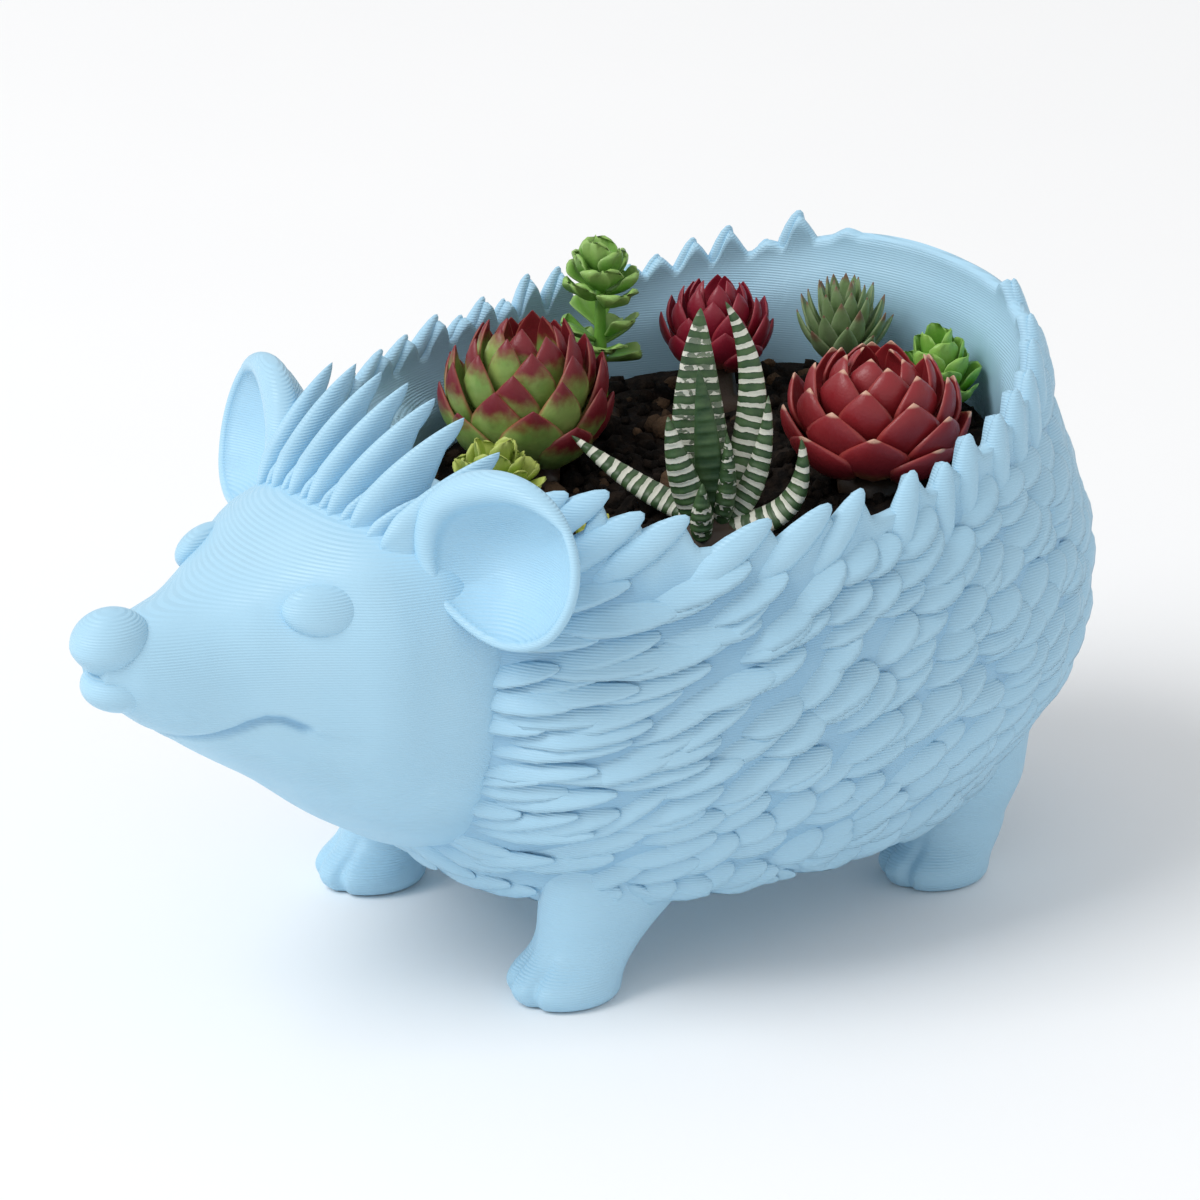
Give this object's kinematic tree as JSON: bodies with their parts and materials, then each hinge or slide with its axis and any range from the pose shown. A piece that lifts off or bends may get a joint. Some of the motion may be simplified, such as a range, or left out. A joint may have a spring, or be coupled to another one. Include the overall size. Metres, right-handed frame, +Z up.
{
  "type": "animal shaped planter",
  "caption": "Hedgehog-shaped planter on four paws, open along the back, with a toothed rim, a soil block and small succulents that lift out.",
  "frame": {"origin": "on the floor, under the middle of the object's box", "axes": "+Z up, the snout towards -Y, the animal's left side towards +X"},
  "size_m": [0.084, 0.1401, 0.0773],
  "materials": {
    "printed_plastic": "satin printed layers",
    "gravel": "rough",
    "soil": "crumbly bark and peat mix",
    "green_houseleek": "waxy leaf with red tips",
    "red_houseleek": "waxy leaf",
    "small_red_houseleek": "waxy leaf",
    "spiky_houseleek": "waxy leaf",
    "pale_rosette": "waxy leaf",
    "rear_rosette": "waxy leaf",
    "leafy_sprig": "waxy leaf",
    "zebra_haworthia": "waxy leaf with pale bands",
    "stonecrop": "waxy leaf"
  },
  "bodies": {
    "pot": {"pot_bowl": "printed_plastic", "head": "printed_plastic", "left_ear": "printed_plastic", "right_ear": "printed_plastic", "brow_fringe": "printed_plastic", "front_left_leg": "printed_plastic", "front_right_leg": "printed_plastic", "rear_left_leg": "printed_plastic", "rear_right_leg": "printed_plastic", "drainage_gravel": "gravel"},
    "soil": {"potting_soil": "soil"},
    "green_houseleek": {"green_houseleek": "green_houseleek"},
    "red_houseleek": {"red_houseleek": "red_houseleek"},
    "small_red_houseleek": {"small_red_houseleek": "small_red_houseleek"},
    "spiky_houseleek": {"spiky_houseleek": "spiky_houseleek"},
    "pale_rosette": {"pale_rosette": "pale_rosette"},
    "rear_rosette": {"rear_rosette": "rear_rosette"},
    "leafy_sprig": {"leafy_sprig": "leafy_sprig"},
    "zebra_haworthia": {"zebra_haworthia": "zebra_haworthia"},
    "stonecrop": {"stonecrop": "stonecrop"}
  },
  "joints": [
    {"name": "soil_lift", "type": "slide", "parent": "pot", "child": "soil", "axis": [0, 0, 1], "range_m": [0, 0.07]},
    {"name": "green_houseleek_lift", "type": "slide", "parent": "soil", "child": "green_houseleek", "axis": [0, 0, 1], "range_m": [0, 0.05]},
    {"name": "red_houseleek_lift", "type": "slide", "parent": "soil", "child": "red_houseleek", "axis": [0, 0, 1], "range_m": [0, 0.05]},
    {"name": "small_red_houseleek_lift", "type": "slide", "parent": "soil", "child": "small_red_houseleek", "axis": [0, 0, 1], "range_m": [0, 0.05]},
    {"name": "spiky_houseleek_lift", "type": "slide", "parent": "soil", "child": "spiky_houseleek", "axis": [0, 0, 1], "range_m": [0, 0.05]},
    {"name": "pale_rosette_lift", "type": "slide", "parent": "soil", "child": "pale_rosette", "axis": [0, 0, 1], "range_m": [0, 0.05]},
    {"name": "rear_rosette_lift", "type": "slide", "parent": "soil", "child": "rear_rosette", "axis": [0, 0, 1], "range_m": [0, 0.05]},
    {"name": "leafy_sprig_lift", "type": "slide", "parent": "soil", "child": "leafy_sprig", "axis": [0, 0, 1], "range_m": [0, 0.05]},
    {"name": "zebra_haworthia_lift", "type": "slide", "parent": "soil", "child": "zebra_haworthia", "axis": [0, 0, 1], "range_m": [0, 0.05]},
    {"name": "stonecrop_lift", "type": "slide", "parent": "soil", "child": "stonecrop", "axis": [0, 0, 1], "range_m": [0, 0.05]}
  ]
}
